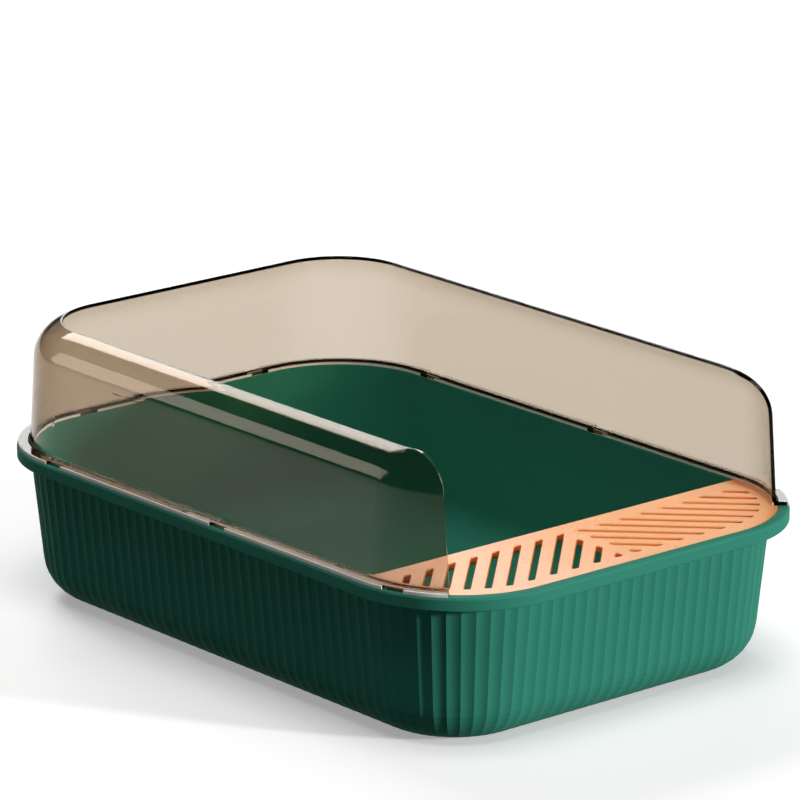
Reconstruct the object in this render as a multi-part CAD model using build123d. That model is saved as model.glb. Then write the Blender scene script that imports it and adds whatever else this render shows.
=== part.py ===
from build123d import *
import math
import os

# Open cat litter box: a fluted tray, a clear U-shaped surround that stands on
# its rim, and a slotted step grate across the front. Millimetres, +Z up, the
# entrance faces -Y. The origin is on the floor, under the middle of the rim.

# Tray rim
RIM_LENGTH = 500.0        # front to back, over the rim
RIM_WIDTH = 342.0         # side to side, over the rim
RIM_CORNER_R = 83.0       # plan radius of the rim corners
RIM_HEIGHT = 108.5        # floor to the top of the rim
RIM_PLATE = 3.0           # thickness of the flat rim top
RIM_EDGE_R = 2.0          # rounding of the rim's upper outer edge
SKIRT_HEIGHT = 9.0        # height of the turned-down outer edge
SKIRT_WALL = 2.4          # thickness of the turned-down outer edge
SKIRT_EDGE_R = 0.9        # rounding of the turned-down edge's lower corner

# Tray wall
SIDE_SETBACK = 8.5        # rim edge in to the wall, at the sides and the back
FRONT_SETBACK = 13.5      # rim edge in to the wall, at the front
WALL = 3.2                # wall thickness, measured at the flute ridges
FLOOR = 3.0               # floor thickness
WALL_DRAFT = 6.0          # lean of the wall, degrees from upright
FOOT_R = 31.0             # rounding where the wall meets the floor
CAVITY_EDGE_R = 1.0       # rounding of the inner edge of the rim
FLUTE_PITCH = 10.0        # aimed spacing of the upright flutes
FLUTE_DEPTH = 0.8         # ridge to valley of a flute
FLUTE_END_DEPTH = 0.1     # what is left of that where a flute runs out at the floor
FOOT_BANDS = 8            # straight bands that carry the flutes round the foot

# Step grate and the rebate that it lies in
GRATE_BACK = 92.5         # rim front edge to the grate's straight back edge
GRATE_PLATE = 4.0         # grate thickness
GRATE_EDGE_R = 0.8        # rounding of the grate's upper edge
GRATE_DROP = 0.3          # grate top below the rim top
REBATE_INSET = 7.0        # rim edge in to the rebate
REBATE_WALL = 2.4         # thickness of the shelf under and round the rebate
GRATE_CLEAR = 0.4         # gap round the grate
SLOT_WIDTH = 4.2          # slot width, across the slot
SLOT_PITCH = 18.45        # slot spacing along the front
SLOT_ANGLE = 45.0         # slots slant this much from the front, mirrored
SLOT_MARGIN = 12.3        # plain border in front of the slots and at their ends
SLOT_BACK_MARGIN = 14.0   # plain border behind the slots
SLOT_START = 5.0          # middle of the border's front corner to the first slot
SLOT_CORNER_R = 1.1       # rounding of the slots' corners
SLOT_MIDRIB = 9.0         # plain bar between the two halves
SLOT_LEAST = 0.1          # slots with a smaller core, in square mm, are left out
RIB_HEIGHT = 6.0          # stiffening rib under the grate's back edge
RIB_WALL = 2.6            # thickness of that rib
RIB_CLEAR = 1.5           # gap from the rib's ends to the tray wall

# Clear surround
TOP_HEIGHT = 195.0        # floor to the crest that the top rounding aims at
FLANGE_INSET = 0.8        # rim edge in to the flange edge
FLANGE_PLATE = 2.5        # thickness of the flange on the rim
FLANGE_EDGE_R = 0.7       # rounding of the flange's upper outer edge
GUARD_INSET = 9.0         # rim edge in to the foot of the clear wall
GUARD_WALL = 2.5          # thickness of the clear wall
GUARD_LEAN = 3.2          # lean of the clear wall, degrees from upright
GUARD_FOOT_R = 2.0        # rounding between flange and wall
TOP_R = 27.0              # outer radius of the inward-turned top
LIP_TURN = 69.0           # how far the top turns in from the wall, degrees
WRAP_ANGLE = 44.0         # how far the wall wraps round each front corner
END_LEAN = 3.7            # lean of the wall's front ends, degrees
END_R = 22.0              # rounding of the upper front corner of each end
END_TURN = 72.0           # how far that rounding turns, degrees

# Locating tabs of the surround, each in a slot of the rim, under a notch
TAB_SIDE_Y = (0.31 * RIM_LENGTH, -0.042 * RIM_LENGTH)
TAB_BACK_X = 0.22 * RIM_WIDTH
TAB_CORNER_ANGLE = 18.0   # third side tab, round the front corner
TAB_LENGTH = 13.0         # along the rim
TAB_WALL = 1.6            # thickness of a tab
TAB_DEPTH = 6.5           # reach below the rim top
TAB_CLEAR = 0.4           # gap between tab and slot
NOTCH_LENGTH = 16.0       # break in the flange above each tab, along the rim
NOTCH_DEPTH = 2.8         # flange edge in to the tab

# Worked out from the sizes above
HALF_W = RIM_WIDTH / 2
HALF_L = RIM_LENGTH / 2
FRONT_EXTRA = FRONT_SETBACK - SIDE_SETBACK
CORNER_X = HALF_W - RIM_CORNER_R
CORNER_Y = HALF_L - RIM_CORNER_R
GRATE_BACK_Y = GRATE_BACK - HALF_L
LEDGE_Z = RIM_HEIGHT - GRATE_DROP - GRATE_PLATE
FLANGE_Z = RIM_HEIGHT + FLANGE_PLATE
REACH = 2 * RIM_LENGTH    # longer than the whole box, for cutting tools
TOUCH = 0.01              # edges and faces this near a height count as at it


def outline(inset, z, front_extra=0.0):
    """The rim's rounded rectangle, drawn in by inset, at height z."""
    width = RIM_WIDTH - 2 * inset
    length = RIM_LENGTH - 2 * inset - front_extra
    return Pos(0, front_extra / 2, z) * RectangleRounded(width, length, RIM_CORNER_R - inset)


def prism(inset, z0, z1):
    return extrude(outline(inset, z0), amount=z1 - z0)


def drafted(inset, lean, z0, z1, base_z, front_extra=0.0):
    """A leaning-walled block that has the given inset at height base_z."""
    slope = math.tan(math.radians(lean))
    ends = [outline(inset + slope * (z - base_z), z, front_extra) for z in (z0, z1)]
    return loft(ends, ruled=True)


def polar(centre, radius, angle):
    a = math.radians(angle)
    return (centre[0] + radius * math.cos(a), centre[1] + radius * math.sin(a))


def flute_marks(inset, depth):
    """Ridge and valley points, once round the wall, anticlockwise."""
    radius = RIM_CORNER_R - inset
    back_y, front_y = CORNER_Y, FRONT_EXTRA - CORNER_Y
    centres = [(CORNER_X, back_y), (-CORNER_X, back_y), (-CORNER_X, front_y), (CORNER_X, front_y)]
    corner_count = max(3, round(math.pi / 2 * (RIM_CORNER_R - SIDE_SETBACK) / FLUTE_PITCH))
    ridges, valleys = [], []
    for k, centre in enumerate(centres):
        start = 90.0 * k
        step = 90.0 / corner_count
        for i in range(corner_count):
            ridges.append(polar(centre, radius, start + i * step))
            valleys.append(polar(centre, radius - depth, start + (i + 0.5) * step))
        target = centres[(k + 1) % 4]
        run = math.dist(centre, target)
        count = max(1, round(run / FLUTE_PITCH))
        ridge0 = polar(centre, radius, start + 90)
        valley0 = polar(centre, radius - depth, start + 90)
        for i in range(count):
            ridges.append(polar(ridge0, run * i / count, start + 180))
            valleys.append(polar(valley0, run * (i + 0.5) / count, start + 180))
    return ridges, valleys


def wall_inset(z):
    return SIDE_SETBACK + math.tan(math.radians(WALL_DRAFT)) * (RIM_HEIGHT - z)


def fluted_face(z, inset, depth):
    ridges, valleys = flute_marks(inset, depth)
    arcs = []
    for i, valley in enumerate(valleys):
        arcs.append(ThreePointArc(ridges[i], valley, ridges[(i + 1) % len(ridges)]))
    return Pos(0, 0, z) * make_face(arcs)


def edges_at(part, z):
    return part.edges().filter_by_position(Axis.Z, z - TOUCH, z + TOUCH)


def inner_edge_at(part, z):
    """Edge of the opening in the largest flat face at height z."""
    flat = part.faces().filter_by_position(Axis.Z, z - TOUCH, z + TOUCH).sort_by(SortBy.AREA)[-1]
    return flat.inner_wires()[0].edges()


def tray_body():
    """Fluted outside, with the flutes carried on round the foot, where they run out."""
    lean = math.radians(WALL_DRAFT)
    foot_top = FOOT_R * (1 - math.sin(lean))
    centre = wall_inset(foot_top) + FOOT_R * math.cos(lean)
    sections = []
    for i in range(FOOT_BANDS + 1):
        up = i / FOOT_BANDS
        turn = math.pi / 2 + (lean - math.pi / 2) * up
        depth = FLUTE_END_DEPTH + (FLUTE_DEPTH - FLUTE_END_DEPTH) * up
        z, inset = FOOT_R * (1 - math.sin(turn)), centre - FOOT_R * math.cos(turn)
        sections.append(fluted_face(z, inset, depth))
    top = RIM_HEIGHT - RIM_PLATE / 2
    sections.append(fluted_face(top, wall_inset(top), FLUTE_DEPTH))
    return loft(sections, ruled=True)


def tray_cavity():
    top = RIM_HEIGHT + RIM_PLATE
    inset = SIDE_SETBACK + WALL
    cavity = drafted(inset, -WALL_DRAFT, FLOOR, top, RIM_HEIGHT, FRONT_EXTRA)
    return fillet(edges_at(cavity, FLOOR), FOOT_R - WALL)


def tray_rim():
    """Flat rim top with its turned-down edge."""
    rim = prism(0, RIM_HEIGHT - SKIRT_HEIGHT, RIM_HEIGHT)
    rim = fillet(edges_at(rim, RIM_HEIGHT), RIM_EDGE_R)
    rim = fillet(edges_at(rim, RIM_HEIGHT - SKIRT_HEIGHT), SKIRT_EDGE_R)
    return rim - prism(SKIRT_WALL, RIM_HEIGHT - 2 * SKIRT_HEIGHT, RIM_HEIGHT - RIM_PLATE)


def front_of(y):
    """Everything in front of y."""
    return Pos(0, y - REACH / 2, 0) * Box(REACH, REACH, REACH)


def tab_frames():
    """Places on the rim's outer edge, X pointing inwards, for every tab."""
    frames = []
    for side, turn in ((-1, 0), (1, 180)):
        for y in TAB_SIDE_Y:
            frames.append(Pos(side * HALF_W, y) * Rot(0, 0, turn))
        inward = turn - side * TAB_CORNER_ANGLE
        spot = polar((side * CORNER_X, -CORNER_Y), RIM_CORNER_R, inward + 180)
        frames.append(Pos(*spot) * Rot(0, 0, inward))
        frames.append(Pos(side * TAB_BACK_X, HALF_L) * Rot(0, 0, -90))
    return frames


def tab_blocks(length, inset, depth, z0, z1):
    """One block per tab place, from inset to inset plus depth."""
    block = Pos(inset + depth / 2, 0, (z0 + z1) / 2) * Box(depth, length, z1 - z0)
    return [frame * block for frame in tab_frames()]


def litter_tray():
    shelf_z = LEDGE_Z - REBATE_WALL
    shelf = prism(REBATE_INSET - REBATE_WALL, shelf_z, RIM_HEIGHT - RIM_PLATE / 2)
    shelf = shelf & front_of(GRATE_BACK_Y + GRATE_CLEAR + REBATE_WALL)
    tray = tray_rim() + tray_body() + shelf - tray_cavity()
    tray = fillet(inner_edge_at(tray, RIM_HEIGHT), CAVITY_EDGE_R)
    tray -= prism(REBATE_INSET, LEDGE_Z, RIM_HEIGHT + RIM_PLATE) & front_of(GRATE_BACK_Y + GRATE_CLEAR)
    slot_inset = FLANGE_INSET + NOTCH_DEPTH - TAB_CLEAR
    tray -= tab_blocks(TAB_LENGTH + 2 * TAB_CLEAR, slot_inset, TAB_WALL + 2 * TAB_CLEAR,
                       RIM_HEIGHT - TAB_DEPTH - TAB_CLEAR, RIM_HEIGHT + RIM_PLATE)
    return tray


def slot_cuts():
    """Slanted slots of the left half, inside the plain border, grown from sharp cores to round corners."""
    core = SLOT_CORNER_R
    field = outline(REBATE_INSET + GRATE_CLEAR + SLOT_MARGIN + core, 0)
    depth = GRATE_BACK - REBATE_INSET - GRATE_CLEAR - SLOT_MARGIN - SLOT_BACK_MARGIN
    window_y = GRATE_BACK_Y - SLOT_BACK_MARGIN - depth / 2
    inner_x = -SLOT_MIDRIB / 2
    field &= Pos(inner_x - core - HALF_W / 2, window_y) * Rectangle(HALF_W, depth - 2 * core)
    count = math.ceil((HALF_W + depth) / SLOT_PITCH)
    strips = Sketch()
    for i in range(count):
        x = inner_x + depth / 2 - SLOT_START - SLOT_PITCH * i
        strips += Pos(x, window_y) * Rot(0, 0, SLOT_ANGLE) * Rectangle(REACH, SLOT_WIDTH - 2 * core)
    cores = [f for f in (field & strips).faces() if f.area > SLOT_LEAST]
    return [offset(f, amount=core) for f in cores]


def step_grate():
    top = LEDGE_Z + GRATE_PLATE
    grate = prism(REBATE_INSET + GRATE_CLEAR, LEDGE_Z, top) & front_of(GRATE_BACK_Y)
    rib_bottom = LEDGE_Z - RIB_HEIGHT
    slope = math.tan(math.radians(WALL_DRAFT))
    rib_half = HALF_W - SIDE_SETBACK - WALL - slope * (RIM_HEIGHT - rib_bottom) - RIB_CLEAR
    rib_z = (rib_bottom + top - GRATE_EDGE_R) / 2
    rib = Box(2 * rib_half, RIB_WALL, top - GRATE_EDGE_R - rib_bottom)
    grate += Pos(0, GRATE_BACK_Y - RIB_WALL / 2, rib_z) * rib
    cuts = [extrude(Pos(0, 0, LEDGE_Z - GRATE_PLATE) * f, amount=3 * GRATE_PLATE) for f in slot_cuts()]
    grate = grate - cuts - [mirror(c, about=Plane.YZ) for c in cuts]
    return fillet(edges_at(grate, top), GRATE_EDGE_R)


def guard_section():
    """Flange, leaning wall and inward-turned top with a round nose: X in from the rim edge, Y up."""
    lean = math.radians(GUARD_LEAN)
    lip = lean + math.radians(LIP_TURN)
    crest = (lean + lip) / 2
    slope = math.tan(lean)
    inner_r = TOP_R - GUARD_WALL

    def round_top(radius, angle):
        return (centre[0] - radius * math.cos(angle), centre[1] + radius * math.sin(angle))

    bend_z = TOP_HEIGHT - TOP_R
    bend_x = GUARD_INSET + slope * (bend_z + TOP_R * math.sin(lean) - RIM_HEIGHT)
    centre = (bend_x + TOP_R * math.cos(lean), bend_z)
    nose_mid = round_top(TOP_R - GUARD_WALL / 2, lip)
    nose = (nose_mid[0] + GUARD_WALL / 2 * math.sin(lip), nose_mid[1] + GUARD_WALL / 2 * math.cos(lip))

    wall_z = FLANGE_Z + GUARD_FOOT_R * (1 - math.sin(lean))
    wall_x = GUARD_INSET + slope * (wall_z - RIM_HEIGHT)
    foot = (wall_x - GUARD_FOOT_R * math.cos(lean), FLANGE_Z + GUARD_FOOT_R)
    foot_mid = polar(foot, GUARD_FOOT_R, (270 + 360 - GUARD_LEAN) / 2)
    edge = (FLANGE_INSET + FLANGE_EDGE_R, FLANGE_Z - FLANGE_EDGE_R)
    outer, inner = (FLANGE_INSET, RIM_HEIGHT), (GUARD_INSET + GUARD_WALL / math.cos(lean), RIM_HEIGHT)
    return make_face([
        Line(outer, (FLANGE_INSET, edge[1])),
        ThreePointArc((FLANGE_INSET, edge[1]), polar(edge, FLANGE_EDGE_R, 135), (edge[0], FLANGE_Z)),
        Line((edge[0], FLANGE_Z), (foot[0], FLANGE_Z)),
        ThreePointArc((foot[0], FLANGE_Z), foot_mid, (wall_x, wall_z)),
        Line((wall_x, wall_z), round_top(TOP_R, lean)),
        ThreePointArc(round_top(TOP_R, lean), round_top(TOP_R, crest), round_top(TOP_R, lip)),
        ThreePointArc(round_top(TOP_R, lip), nose, round_top(inner_r, lip)),
        ThreePointArc(round_top(inner_r, lip), round_top(inner_r, crest), round_top(inner_r, lean)),
        Line(round_top(inner_r, lean), inner),
        Line(inner, outer),
    ])


def end_cutter():
    """Trims the left end to its leaning edge and rounded upper corner."""
    spot = polar((-CORNER_X, -CORNER_Y), RIM_CORNER_R - GUARD_INSET, 180 + WRAP_ANGLE)
    along = polar((0, 0), 1, 270 + WRAP_ANGLE)
    plane = Plane(origin=(*spot, RIM_HEIGHT), x_dir=(*along, 0), z_dir=(along[1], -along[0], 0))
    rise = TOP_HEIGHT - RIM_HEIGHT - END_R
    slope = math.tan(math.radians(END_LEAN))
    bend_foot = (-slope * rise, rise)
    pivot = polar(bend_foot, END_R, 180 + END_LEAN)
    bend_end = polar(pivot, END_R, END_LEAN + END_TURN)
    run_out = polar(bend_end, RIM_CORNER_R, END_LEAN + END_TURN + 90)
    foot = (slope * RIM_PLATE, -RIM_PLATE)
    edges = [
        Line(foot, bend_foot),
        ThreePointArc(bend_foot, polar(pivot, END_R, END_LEAN + END_TURN / 2), bend_end),
        Line(bend_end, run_out),
        Polyline(run_out, (run_out[0], REACH), (RIM_CORNER_R, REACH), (RIM_CORNER_R, foot[1]), foot),
    ]
    return extrude(plane * make_face(edges), amount=RIM_CORNER_R - GUARD_INSET, both=True)


def surround():
    """One half is drawn round the rim from its section, then mirrored."""
    section = guard_section()
    side = Plane(origin=(-HALF_W, CORNER_Y, 0), x_dir=(1, 0, 0), z_dir=(0, -1, 0)) * section
    back = Plane(origin=(0, HALF_L, 0), x_dir=(0, -1, 0), z_dir=(-1, 0, 0)) * section
    end = Pos(0, -2 * CORNER_Y, 0) * side
    back_axis = Axis((-CORNER_X, CORNER_Y, 0), (0, 0, -1))
    front_axis = Axis((-CORNER_X, -CORNER_Y, 0), (0, 0, 1))
    half = extrude(side, amount=2 * CORNER_Y) + extrude(back, amount=CORNER_X)
    half += revolve(side, axis=back_axis, revolution_arc=90)
    half += revolve(end, axis=front_axis, revolution_arc=WRAP_ANGLE)
    half -= end_cutter()
    guard = half + mirror(half, about=Plane.YZ)
    guard -= tab_blocks(NOTCH_LENGTH, -FLANGE_INSET, 2 * FLANGE_INSET + NOTCH_DEPTH, RIM_HEIGHT, FLANGE_Z)
    tab_inset = FLANGE_INSET + NOTCH_DEPTH
    guard += tab_blocks(TAB_LENGTH, tab_inset, TAB_WALL, RIM_HEIGHT - TAB_DEPTH, FLANGE_Z)
    return guard


os.makedirs("parts", exist_ok=True)
export_step(litter_tray(), "parts/litter_tray.step")
export_step(surround(), "parts/surround.step")
export_step(step_grate(), "parts/step_grate.step")
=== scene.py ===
import math

import bpy
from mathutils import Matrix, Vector


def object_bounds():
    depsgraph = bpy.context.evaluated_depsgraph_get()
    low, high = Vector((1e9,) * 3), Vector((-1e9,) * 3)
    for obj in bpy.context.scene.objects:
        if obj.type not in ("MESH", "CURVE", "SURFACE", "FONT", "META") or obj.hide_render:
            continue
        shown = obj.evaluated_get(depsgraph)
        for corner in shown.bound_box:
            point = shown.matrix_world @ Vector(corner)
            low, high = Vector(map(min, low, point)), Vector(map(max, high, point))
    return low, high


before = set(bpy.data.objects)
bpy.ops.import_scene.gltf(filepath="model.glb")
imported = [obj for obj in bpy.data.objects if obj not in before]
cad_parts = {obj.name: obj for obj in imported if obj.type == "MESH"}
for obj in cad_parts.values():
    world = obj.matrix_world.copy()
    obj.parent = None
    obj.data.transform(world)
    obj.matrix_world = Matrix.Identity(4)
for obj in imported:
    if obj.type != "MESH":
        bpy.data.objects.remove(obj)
cad_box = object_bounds()

# Camera, at the viewing angle of the photograph
VIEW_AZIMUTH = -40.21      # degrees, round from straight in front
VIEW_ELEVATION = 16.55     # degrees above the floor
VIEW_DISTANCE = 3.7586     # metres from the aim point
VIEW_AIM = Vector((0.0032, 0.0, 0.1575))
LENS_MM = 254.06
SENSOR_MM = 36.0
VIEW_REACH = 100.0         # metres, the far end of what the camera draws

# Light
KEY_ANGLE = (78.5, 0.0, 30.0)   # tilt from straight down, then swing to the right
KEY_SPREAD = 6.0                # degrees, how soft the key's shadows are
KEY_STRENGTH = 3.45
SKY_COLOUR = (1.0, 1.0, 1.0, 1.0)
SKY_STRENGTH = 0.055            # the even light from all round
BOX_DISTANCE = 4.0              # metres from the litter box to the soft boxes
SOFTBOXES = (                   # name, degrees right of straight behind, degrees up, width, height, watts
    ("top_box", -140.0, 73.0, 2.2, 2.2, 73.0),
    ("lip_box", 13.0, 41.0, 1.9, 1.1, 64.0),
    ("flange_box", 40.0, 17.0, 1.8, 1.3, 27.0),
    ("wall_card", -42.0, 15.0, 1.6, 1.4, 30.0),
)
CARDS = ("wall_card",)          # seen in the clear plastic only, lighting nothing
FLOOR_REACH = 40.0              # half the floor's side, metres

# Finishes, in linear colour
TRAY_GREEN = (0.030, 0.208, 0.144, 1.0)
TRAY_GREEN_PALER = (0.054, 0.275, 0.201, 1.0)
GRATE_ORANGE = (0.95, 0.335, 0.100, 1.0)
GRATE_ORANGE_PALER = (0.97, 0.46, 0.20, 1.0)
TRAY_SHINE = 0.03                        # specular level
TRAY_ROUGHNESS = (0.48, 0.68)            # from the most rubbed to the least
GRATE_SHINE = 0.5
GRATE_ROUGHNESS = (0.22, 0.36)
BLEED_SHARE = 0.6                        # of the light on the grate that spreads inside it
BLEED_REACH = 0.008                      # metres that it spreads
BLEED_COLOURS = (1.0, 0.28, 0.08)        # how far red, green and blue get, by share of that
SMOKE_IOR = 1.35
SMOKE_ROUGHNESS = (0.006, 0.02)          # from clean to rubbed
SMOKE_CLEAR = (0.99, 0.985, 0.98, 1.0)
SMOKE_SCUFFED = (0.90, 0.89, 0.88, 1.0)
SMOKE_TINT = (0.52, 0.38, 0.20, 1.0)     # what the clear plastic lets through
SMOKE_DENSITY = 400.0                    # per metre of plastic
SMOKE_SHADOW = (0.64, 0.58, 0.50, 1.0)   # light let through by one face
SMOKE_SHEEN = (0.66, 0.56, 0.46, 1.0)    # colour of what the polished faces reflect
PAINTED_EDGE_HIGHLIGHT = (0.92, 0.89, 0.85, 1.0)     # painted highlight: a pale matte colour on the flange's outer edge and the wall's inner foot, standing in for the bright line these edges catch
EDGE_BAND = 0.0018                       # metres in from the rim's outline that the painted edge highlight reaches
FOOT_BAND = 0.0105                       # metres in from the rim's outline where the wall's foot begins
FOOT_TOP = 0.1106                        # metres above the floor that the painted highlight along the wall's foot reaches
FOOT_GAPS = (0.155, -0.021)              # metres along the sides to the gaps over the tabs
BACK_GAP = 0.0752                        # metres along the back, either way, to the gaps over the tabs
GAP_HALF = 0.0075                        # metres, half a gap's length
EDGE_FADE = 0.0004                       # metres over which the painted highlight fades out
RIM_CORNER_R = 0.083                     # metres, corner radius of the rim's outline
FLOOR_PALE = (0.83, 0.83, 0.826, 1.0)
FLOOR_BOUNCE = (0.107, 0.107, 0.103, 1.0)  # what the floor throws back on to the litter box
FLOOR_GLOW = 0.33                        # lifts the floor where the viewer sees it, lights nothing
FLOOR_GLOW_COLOUR = (1.0, 1.0, 0.995, 1.0)
FLOOR_SHINE = 0.1
FLOOR_ROUGHNESS = 0.9

# Surface detail; scales are per metre
GRAIN_SCALE = 1500.0
GRAIN_DETAIL = 3.0
GRAIN_SPAN = (0.1, 0.8)                  # grain values that take the ends of the roughness
GRAIN_BUMP = 0.25
GRAIN_HEIGHT = 0.00012                   # metres
FLOW_SCALE = 9.0
FLOW_DETAIL = 4.0
FLOW_SPAN = (0.3, 0.7)                   # noise values that give none and all of the shading
FLOW_SHARE = 0.16                        # how far the melt flow takes the colour to the paler one
PATCH_SCALE = 14.0
PATCH_DETAIL = 5.0
PATCH_SPAN = (0.52, 0.72)                # noise values where a rubbed patch starts and is full
POLISH_SHARE = 0.25                      # how far a rubbed patch lowers the grain
HAIR_SCALE = 90.0
HAIR_STRETCH = (1.0, 0.35, 0.6)
HAIR_WIDTH = 0.012                       # share of a cell
SCUFF_SHARE = 0.35                       # how far a scuff takes the colour to the paler one
SMOKE_PATCH_SCALE = 11.0
SMOKE_HAIR_SCALE = 60.0
SMOKE_RIPPLE_SCALE = 24.0
SMOKE_RIPPLE_BUMP = 0.006
SMOKE_RIPPLE_HEIGHT = 0.0006             # metres
MIX_FIRST, MIX_SECOND, MIX_RESULT = 6, 7, 2   # places of the colour sockets on a Mix node


def new_group(name, inputs, outputs):
    """A shader node group that takes a place and some numbers, and puts out masks."""
    group = bpy.data.node_groups.new(name, "ShaderNodeTree")
    group.interface.new_socket("Vector", in_out="INPUT", socket_type="NodeSocketVector")
    for label, value in inputs:
        socket = group.interface.new_socket(label, in_out="INPUT", socket_type="NodeSocketFloat")
        socket.default_value = value
    for label in outputs:
        group.interface.new_socket(label, in_out="OUTPUT", socket_type="NodeSocketFloat")
    return group, group.nodes.new("NodeGroupInput"), group.nodes.new("NodeGroupOutput")


def remap(tree, value, low, high, to_low, to_high):
    node = tree.nodes.new("ShaderNodeMapRange")
    limits = (low, high, to_low, to_high)
    for label, number in zip(("From Min", "From Max", "To Min", "To Max"), limits):
        node.inputs[label].default_value = number
    tree.links.new(value, node.inputs["Value"])
    return node.outputs["Result"]


def maths(tree, operation, first, second=0.0):
    node = tree.nodes.new("ShaderNodeMath")
    node.operation = operation
    for socket, value in zip(node.inputs, (first, second)):
        if isinstance(value, float):
            socket.default_value = value
        else:
            tree.links.new(value, socket)
    return node.outputs[0]


def mix_colour(tree, amount, first, second):
    node = tree.nodes.new("ShaderNodeMix")
    node.data_type = "RGBA"
    tree.links.new(amount, node.inputs["Factor"])
    node.inputs[MIX_FIRST].default_value = first
    node.inputs[MIX_SECOND].default_value = second
    return node.outputs[MIX_RESULT]


def bump(tree, shader, height, strength, distance):
    node = tree.nodes.new("ShaderNodeBump")
    node.inputs["Strength"].default_value = strength
    node.inputs["Distance"].default_value = distance
    tree.links.new(height, node.inputs["Height"])
    tree.links.new(node.outputs["Normal"], shader.inputs["Normal"])


def moulded_grain():
    """Fine spark-eroded grain of a moulded face, and the slow shading of its melt flow."""
    scales = [("Grain", GRAIN_SCALE), ("Flow", FLOW_SCALE)]
    group, start, end = new_group("moulded_grain", scales, ["Height", "Shade"])
    fine = group.nodes.new("ShaderNodeTexNoise")
    fine.inputs["Detail"].default_value = GRAIN_DETAIL
    flow = group.nodes.new("ShaderNodeTexNoise")
    flow.inputs["Detail"].default_value = FLOW_DETAIL
    for node, label in ((fine, "Grain"), (flow, "Flow")):
        group.links.new(start.outputs["Vector"], node.inputs["Vector"])
        group.links.new(start.outputs[label], node.inputs["Scale"])
    group.links.new(fine.outputs["Fac"], end.inputs["Height"])
    group.links.new(remap(group, flow.outputs["Fac"], *FLOW_SPAN, 0.0, 1.0), end.inputs["Shade"])
    return group


def handling_marks():
    """Faint rubbed patches from hands and cloths, with hairline scuffs inside them."""
    scales = [("Patch", PATCH_SCALE), ("Hair", HAIR_SCALE)]
    group, start, end = new_group("handling_marks", scales, ["Rub", "Scuff"])
    patch = group.nodes.new("ShaderNodeTexNoise")
    patch.inputs["Detail"].default_value = PATCH_DETAIL
    group.links.new(start.outputs["Vector"], patch.inputs["Vector"])
    group.links.new(start.outputs["Patch"], patch.inputs["Scale"])
    stretch = group.nodes.new("ShaderNodeVectorMath")
    stretch.operation = "MULTIPLY"
    stretch.inputs[1].default_value = HAIR_STRETCH
    hair = group.nodes.new("ShaderNodeTexVoronoi")
    hair.feature = "DISTANCE_TO_EDGE"
    group.links.new(start.outputs["Vector"], stretch.inputs[0])
    group.links.new(stretch.outputs["Vector"], hair.inputs["Vector"])
    group.links.new(start.outputs["Hair"], hair.inputs["Scale"])
    line = remap(group, hair.outputs["Distance"], 0.0, HAIR_WIDTH, 1.0, 0.0)
    rub = remap(group, patch.outputs["Fac"], *PATCH_SPAN, 0.0, 1.0)
    group.links.new(rub, end.inputs["Rub"])
    group.links.new(maths(group, "MULTIPLY", line, rub), end.inputs["Scuff"])
    return group


def new_finish(name):
    material = bpy.data.materials.new(name)
    material.use_nodes = True
    tree = material.node_tree
    return material, tree, tree.nodes["Principled BSDF"]


def place_group(tree, group, **values):
    node = tree.nodes.new("ShaderNodeGroup")
    node.node_tree = group
    place = tree.nodes.new("ShaderNodeTexCoord").outputs["Object"]
    tree.links.new(place, node.inputs["Vector"])
    for label, value in values.items():
        node.inputs[label].default_value = value
    return node


def matte_plastic(name, colour, paler, shine, roughness):
    """Moulded plastic with a fine matte grain, a little paler in scuffs and glossier where rubbed."""
    material, tree, shader = new_finish(name)
    skin = place_group(tree, grain)
    use = place_group(tree, marks)
    flow = maths(tree, "MULTIPLY", skin.outputs["Shade"], FLOW_SHARE)
    scuff = maths(tree, "MULTIPLY", use.outputs["Scuff"], SCUFF_SHARE)
    tint = mix_colour(tree, maths(tree, "ADD", flow, scuff), colour, paler)
    tree.links.new(tint, shader.inputs["Base Color"])
    polish = maths(tree, "MULTIPLY", use.outputs["Rub"], POLISH_SHARE)
    matte = maths(tree, "SUBTRACT", skin.outputs["Height"], polish)
    tree.links.new(remap(tree, matte, *GRAIN_SPAN, *roughness), shader.inputs["Roughness"])
    shader.inputs["Specular IOR Level"].default_value = shine
    bump(tree, shader, skin.outputs["Height"], GRAIN_BUMP, GRAIN_HEIGHT)
    return material


def let_light_spread(material):
    """Thin unfilled plastic glows a little on the walls of its slots."""
    shader = material.node_tree.nodes["Principled BSDF"]
    shader.inputs["Subsurface Weight"].default_value = BLEED_SHARE
    shader.inputs["Subsurface Radius"].default_value = BLEED_COLOURS
    shader.inputs["Subsurface Scale"].default_value = BLEED_REACH


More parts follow.
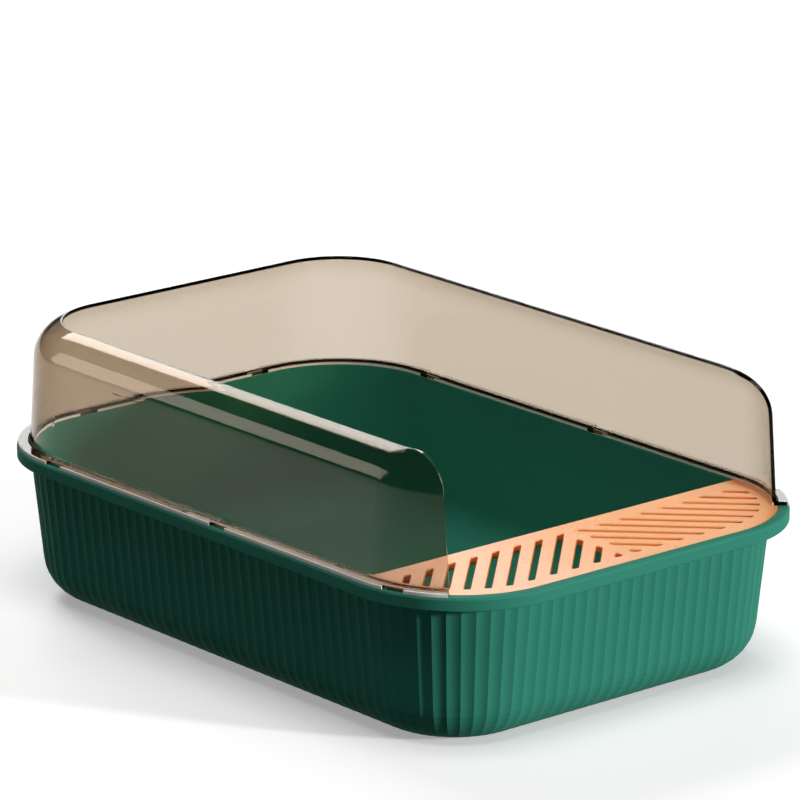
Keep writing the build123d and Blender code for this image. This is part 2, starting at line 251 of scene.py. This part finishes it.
def painted_highlight_mask(tree):
    """Where the painted highlight goes: one on the flange's outer edge and along the wall's inner foot,
    nought elsewhere.
    """
    place = tree.nodes.new("ShaderNodeTexCoord").outputs["Object"]
    spot = place
    half_width, half_length = cad_box[1][0] - RIM_CORNER_R, cad_box[1][1] - RIM_CORNER_R
    steps = (
        ("ABSOLUTE", None),
        ("MULTIPLY", (1.0, 1.0, 0.0)),
        ("SUBTRACT", (half_width, half_length, 0.0)),
        ("MAXIMUM", (0.0, 0.0, 0.0)),
    )
    for operation, value in steps:
        node = tree.nodes.new("ShaderNodeVectorMath")
        node.operation = operation
        tree.links.new(spot, node.inputs[0])
        if value:
            node.inputs[1].default_value = value
        spot = node.outputs["Vector"]
    length = tree.nodes.new("ShaderNodeVectorMath")
    length.operation = "LENGTH"
    tree.links.new(spot, length.inputs[0])
    out_from_core = length.outputs["Value"]
    start = RIM_CORNER_R - EDGE_BAND
    outer = remap(tree, out_from_core, start, start + EDGE_FADE, 0.0, 1.0)
    split = tree.nodes.new("ShaderNodeSeparateXYZ")
    tree.links.new(place, split.inputs["Vector"])
    start = RIM_CORNER_R - FOOT_BAND
    inside = remap(tree, out_from_core, start - EDGE_FADE, start, 1.0, 0.0)
    low = remap(tree, split.outputs["Z"], FOOT_TOP - EDGE_FADE, FOOT_TOP, 1.0, 0.0)
    foot = maths(tree, "MULTIPLY", inside, low)
    across = maths(tree, "ABSOLUTE", split.outputs["X"])
    gaps = [(across, BACK_GAP)] + [(split.outputs["Y"], middle) for middle in FOOT_GAPS]
    for axis, middle in gaps:
        off = maths(tree, "ABSOLUTE", maths(tree, "SUBTRACT", axis, middle))
        foot = maths(tree, "MULTIPLY", foot, maths(tree, "GREATER_THAN", off, GAP_HALF))
    return maths(tree, "MAXIMUM", outer, foot)


def mix_shaders(tree, amount, first, second):
    node = tree.nodes.new("ShaderNodeMixShader")
    tree.links.new(amount, node.inputs["Fac"])
    tree.links.new(first, node.inputs[1])
    tree.links.new(second, node.inputs[2])
    return node.outputs["Shader"]


def smoke_plastic():
    """Clear polished plastic with a smoky tint that deepens with its thickness, and a pale matte band
    along its edges, painted there as their highlight.
    """
    material, tree, shader = new_finish("smoke_plastic")
    shader.inputs["Transmission Weight"].default_value = 1.0
    shader.inputs["IOR"].default_value = SMOKE_IOR
    shader.inputs["Specular Tint"].default_value = SMOKE_SHEEN
    use = place_group(tree, marks, Patch=SMOKE_PATCH_SCALE, Hair=SMOKE_HAIR_SCALE)
    skin = place_group(tree, grain, Grain=SMOKE_RIPPLE_SCALE)
    clear = mix_colour(tree, use.outputs["Scuff"], SMOKE_CLEAR, SMOKE_SCUFFED)
    tree.links.new(clear, shader.inputs["Base Color"])
    rough = remap(tree, use.outputs["Rub"], 0.0, 1.0, *SMOKE_ROUGHNESS)
    tree.links.new(rough, shader.inputs["Roughness"])
    bump(tree, shader, skin.outputs["Height"], SMOKE_RIPPLE_BUMP, SMOKE_RIPPLE_HEIGHT)
    tint = tree.nodes.new("ShaderNodeVolumeAbsorption")
    tint.inputs["Color"].default_value = SMOKE_TINT
    tint.inputs["Density"].default_value = SMOKE_DENSITY
    through = tree.nodes.new("ShaderNodeBsdfTransparent")
    through.inputs["Color"].default_value = SMOKE_SHADOW
    # a pale matte band on the flange's outer edge and the wall's inner foot: a painted highlight
    painted_highlight = tree.nodes.new("ShaderNodeBsdfDiffuse")
    painted_highlight.inputs["Color"].default_value = PAINTED_EDGE_HIGHLIGHT
    ray = tree.nodes.new("ShaderNodeLightPath")
    out = tree.nodes["Material Output"]
    face = mix_shaders(tree, painted_highlight_mask(tree), shader.outputs["BSDF"], painted_highlight.outputs["BSDF"])
    face = mix_shaders(tree, ray.outputs["Is Shadow Ray"], face, through.outputs["BSDF"])
    tree.links.new(face, out.inputs["Surface"])
    tree.links.new(tint.outputs["Volume"], out.inputs["Volume"])
    return material


def dress(node, material):
    node.data.materials.clear()
    node.data.materials.append(material)


def seen_by_viewer(tree):
    """One for rays that the viewer sees, in the open, in a reflection or through the clear plastic."""
    ray = tree.nodes.new("ShaderNodeLightPath")
    seen = maths(tree, "MAXIMUM", ray.outputs["Is Camera Ray"], ray.outputs["Is Transmission Ray"])
    return maths(tree, "MAXIMUM", seen, ray.outputs["Is Glossy Ray"])


def pale_floor():
    bpy.ops.object.select_all(action="DESELECT")
    bpy.ops.mesh.primitive_plane_add(size=2 * FLOOR_REACH, location=(0, 0, 0))
    floor = bpy.context.object
    floor.name = "floor"
    material, tree, shader = new_finish("pale_floor")
    shader.inputs["Roughness"].default_value = FLOOR_ROUGHNESS
    shader.inputs["Specular IOR Level"].default_value = FLOOR_SHINE
    seen = seen_by_viewer(tree)
    tree.links.new(mix_colour(tree, seen, FLOOR_BOUNCE, FLOOR_PALE), shader.inputs["Base Color"])
    shader.inputs["Emission Color"].default_value = FLOOR_GLOW_COLOUR
    tree.links.new(maths(tree, "MULTIPLY", seen, FLOOR_GLOW), shader.inputs["Emission Strength"])
    floor.data.materials.append(material)


def add_lamp(name, kind, strength):
    lamp = bpy.data.objects.new(name, bpy.data.lights.new(name, kind))
    lamp.data.energy = strength
    bpy.context.scene.collection.objects.link(lamp)
    return lamp


def toward(azimuth, elevation):
    """The way out from the litter box, by degrees round from straight behind and degrees up."""
    azimuth, elevation = math.radians(azimuth), math.radians(elevation)
    level = math.cos(elevation)
    return Vector((math.sin(azimuth) * level, math.cos(azimuth) * level, math.sin(elevation)))


def studio_light():
    key = add_lamp("key", "SUN", KEY_STRENGTH)
    key.data.angle = math.radians(KEY_SPREAD)
    key.rotation_euler = [math.radians(a) for a in KEY_ANGLE]
    for name, right, up, width, height, watts in SOFTBOXES:
        box = add_lamp(name, "AREA", watts)
        box.visible_diffuse = name not in CARDS
        box.data.shape = "RECTANGLE"
        box.data.size = width
        box.data.size_y = height
        box.location = VIEW_AIM + BOX_DISTANCE * toward(right, up)
        box.rotation_euler = toward(right, up).to_track_quat("Z", "Y").to_euler()
    world = bpy.data.worlds.new("studio")
    bpy.context.scene.world = world
    world.use_nodes = True
    sky = world.node_tree.nodes["Background"]
    sky.inputs["Color"].default_value = SKY_COLOUR
    sky.inputs["Strength"].default_value = SKY_STRENGTH


def photo_camera():
    away = toward(180.0 - VIEW_AZIMUTH, VIEW_ELEVATION)
    camera = bpy.data.objects.new("camera", bpy.data.cameras.new("camera"))
    camera.data.lens = LENS_MM
    camera.data.sensor_width = SENSOR_MM
    camera.data.clip_end = VIEW_REACH
    camera.location = VIEW_AIM + VIEW_DISTANCE * away
    camera.rotation_euler = away.to_track_quat("Z", "Y").to_euler()
    bpy.context.scene.collection.objects.link(camera)
    bpy.context.scene.camera = camera


bpy.context.scene.view_settings.view_transform = "Standard"
photo_camera()
studio_light()
pale_floor()

grain = moulded_grain()
marks = handling_marks()
tray_finish = matte_plastic(
    "tray_plastic", TRAY_GREEN, TRAY_GREEN_PALER, TRAY_SHINE, TRAY_ROUGHNESS)
grate_finish = matte_plastic(
    "grate_plastic", GRATE_ORANGE, GRATE_ORANGE_PALER, GRATE_SHINE, GRATE_ROUGHNESS)
let_light_spread(grate_finish)
dress(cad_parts["litter_tray"], tray_finish)
dress(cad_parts["step_grate"], grate_finish)
dress(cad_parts["surround"], smoke_plastic())
